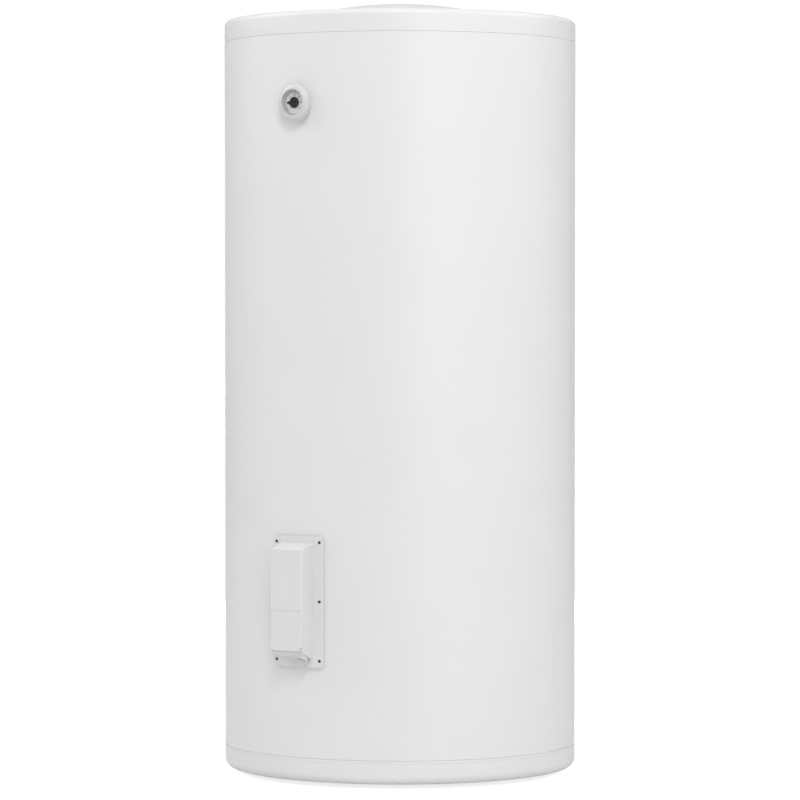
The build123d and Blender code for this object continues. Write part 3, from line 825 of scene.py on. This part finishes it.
for number in (1, 2, 3):
    stud_low, stud_high = box(f"foot_stud_{number}")
    pad_low, pad_high = box(f"foot_pad_{number}")
    middle = [(pad_low[axis] + pad_high[axis]) / 2 for axis in (0, 1)]
    outline = [(0, stud_low[2]), (4.2, stud_low[2])]
    outline += rows(4.9, stud_low[2] + 0.6, stud_high[2] - 1, 0.25)
    outline += [(3.9, stud_high[2]), (0, stud_high[2])]
    rod = piece(
        f"rod_{number}",
        *revolved(outline, 36, False, thread(14.2, stud_high[2] - 0.9, 4.5, 0.8, 1.5)),
        "galvanised_steel",
        f"stud_{number}",
        place=spot(*middle, 0),
    )
    outline = [(4.4, COLLAR_LOW), (7.4, COLLAR_LOW), (8.05, COLLAR_LOW + 0.4)]
    outline += [(8.05, COLLAR_HIGH - 0.4), (7.4, COLLAR_HIGH), (4.4, COLLAR_HIGH)]
    hexagon = piece(
        f"collar_{number}",
        *revolved(outline, 6),
        "galvanised_steel",
        f"stud_{number}",
        place=spot(*middle, 0),
    )
    merged(
        [rod, hexagon],
        f"threaded_stud_{number}",
        "galvanised_steel",
        f"stud_{number}",
        [f"foot_stud_{number}"],
    )
    tread = [corner(0, pad_low[2] + 0.6)]
    for ring in range(4):
        out = 3.5 + 4 * ring
        tread += [corner(out, pad_low[2] + 0.6), corner(out + 0.4, pad_low[2])]
        tread += [corner(out + 2.6, pad_low[2]), corner(out + 3.0, pad_low[2] + 0.6)]
    tread += [
        corner(19.2, pad_low[2] + 0.6, 0.2),
        corner(PAD_RADIUS, pad_low[2] + 1.2, 0.6),
        corner(PAD_RADIUS, pad_high[2], 2.4),
        corner(9.5, pad_high[2], 0.5),
        corner(8.6, pad_high[2] - 0.8, 0.4),
        corner(5.2, pad_high[2] - 0.8),
        corner(5.0, stud_low[2] - 0.1),
        corner(0, stud_low[2] - 0.1),
    ]
    piece(
        f"levelling_pad_{number}",
        *revolved(rounded(tread, False), 72, False),
        "foot_plastic",
        f"foot_{number}",
        [f"foot_pad_{number}"],
        place=spot(*middle, 0),
    )


# --- Thermostat marks --------------------------------------------------------------------

knob_low, knob_high = box("thermostat_knob")
knob_height = (knob_low[2] + knob_high[2]) / 2
body_front = box("thermostat_body")[0][1]
strokes = []
for step in range(10):
    turn = math.radians(-135 + 30 * step)
    inner, outer = (15.4, 18.4) if step in (0, 9) else (16.4, 18.2)
    strokes.append(
        (
            (inner * math.sin(turn), knob_height + inner * math.cos(turn)),
            (outer * math.sin(turn), knob_height + outer * math.cos(turn)),
            0.7,
        )
    )
printed("thermostat_scale", *bars(strokes, body_front, body_front - 0.06), [], "terminal_white")
strokes = [((0, knob_height + 5), (0, knob_height + 12.4), 1.3)]
mark = bars(strokes, knob_low[1] + 0.02, knob_low[1])
printed("knob_mark", *mark, [], "terminal_white", "knob")


# --- Stage, lights and camera ------------------------------------------------------------

FLOOR_HALF = 60.0
floor_mesh = bpy.data.meshes.new("floor")
floor_corners = [(-1, -1), (1, -1), (1, 1), (-1, 1)]
floor_mesh.from_pydata(
    [(x * FLOOR_HALF, y * FLOOR_HALF, cad_box[0][2]) for x, y in floor_corners], [], [(0, 1, 2, 3)]
)
floor = linked("floor", floor_mesh)
# The floor glows a little for the camera only, so that it stays pale without lighting the casing.
paper = finish(
    "floor", (0.82, 0.82, 0.82), 0.85, tone=0.006, tone_size=900, grain=0.02, grain_size=8
)
glow = paper.node_tree.nodes["Principled BSDF"]
glow.inputs["Emission Color"].default_value = (0.78, 0.78, 0.78, 1)
paper.node_tree.links.new(
    paper.node_tree.nodes.new("ShaderNodeLightPath").outputs["Is Camera Ray"],
    glow.inputs["Emission Strength"],
)
floor_mesh.materials.append(paper)

# Ambient light from all round, behind a backdrop that the camera sees as white.
AMBIENT = 0.431
BACKDROP = 1.05
world = bpy.data.worlds.new("studio")
scene.world = world
world.use_nodes = True
world_nodes = world.node_tree.nodes
ambient = world_nodes["Background"]
ambient.inputs["Color"].default_value = (1, 1, 1, 1)
ambient.inputs["Strength"].default_value = AMBIENT
backdrop = world_nodes.new("ShaderNodeBackground")
backdrop.inputs["Color"].default_value = (1, 1, 1, 1)
backdrop.inputs["Strength"].default_value = BACKDROP
seen = world_nodes.new("ShaderNodeLightPath")
choice = world_nodes.new("ShaderNodeMixShader")
world_links = world.node_tree.links
world_links.new(seen.outputs["Is Camera Ray"], choice.inputs[0])
world_links.new(ambient.outputs[0], choice.inputs[1])
world_links.new(backdrop.outputs[0], choice.inputs[2])
world_links.new(choice.outputs[0], world_nodes["World Output"].inputs["Surface"])

CAMERA_TURN = math.radians(34.0)  # from the front towards +X
CAMERA_REACH = 6.285  # from the axis
CAMERA_HEIGHT = 0.7477
CAMERA_DIP = 1.227  # degrees below level
AIM_HEIGHT = 0.65  # where the lights point on the axis


def softbox(name, turn, height, reach, width, tall, power):
    """An area light at a turn in degrees from the camera's direction, aimed at the axis."""
    light = bpy.data.lights.new(name, "AREA")
    light.shape = "RECTANGLE"
    light.size = width
    light.size_y = tall
    light.energy = power
    made = linked(name, light)
    angle = CAMERA_TURN + math.radians(turn)
    made.location = (reach * math.sin(angle), -reach * math.cos(angle), height)
    to_object = Vector((0, 0, AIM_HEIGHT)) - made.location
    made.rotation_euler = to_object.to_track_quat("-Z", "Y").to_euler()


softbox("key_high", 85, 3.0, 3.4, 1.2, 1.6, 38.8)
softbox("front_high", 0, 3.8, 3.2, 1.2, 1.2, 67)
softbox("side_high", -100, 3.0, 3.5, 2.4, 3.0, 68)
softbox("camera_side", 20, 1.6, 5.2, 2.6, 2.2, 49.6)
softbox("overhead", 0, 5.0, 0.6, 1.0, 1.0, 16)
softbox("rear", 180, 0.7, 3.8, 2.2, 1.2, 36)

camera_data = bpy.data.cameras.new("camera")
camera_data.sensor_width = 36
camera_data.lens = 170.6
camera_data.clip_end = 200
camera = linked("camera", camera_data)
camera.location = (
    CAMERA_REACH * math.sin(CAMERA_TURN),
    -CAMERA_REACH * math.cos(CAMERA_TURN),
    CAMERA_HEIGHT,
)
camera.rotation_euler = (math.radians(90 - CAMERA_DIP), 0, CAMERA_TURN)
scene.camera = camera
scene.view_settings.view_transform = "Standard"
